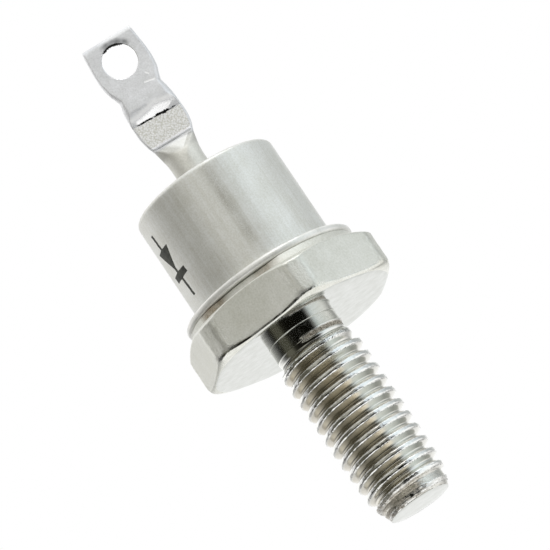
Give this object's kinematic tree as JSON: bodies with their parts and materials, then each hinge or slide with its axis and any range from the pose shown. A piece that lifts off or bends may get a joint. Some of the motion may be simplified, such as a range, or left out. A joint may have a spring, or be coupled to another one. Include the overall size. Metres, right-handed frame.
{
  "type": "rectifier diode",
  "caption": "Stud-mounted rectifier diode: nickel-plated hexagon base with a threaded stud, welded can, glass seal and a flattened terminal lug with an eye.",
  "frame": {"origin": "centre of the hexagon's seating face, on the axis of the stud", "axes": "+Z along the axis from the stud towards the terminal lug; the lug's flat faces look along -Y and +Y"},
  "size_m": [0.012, 0.0118, 0.0309],
  "materials": {
    "nickel_base": "satin",
    "nickel_cap": "satin",
    "nickel_terminal": "satin",
    "seal_glass": "gloss",
    "solder": "satin",
    "silicon": "satin",
    "copper": "satin",
    "marking_ink": "matte"
  },
  "bodies": {
    "root": {"stud_base": "nickel_base", "base_solder": "solder", "silicon_die": "silicon", "lead_solder": "solder", "inner_lead": "copper", "cap": "nickel_cap", "glass_seal": "seal_glass", "terminal_tube": "nickel_terminal"}
  },
  "joints": []
}
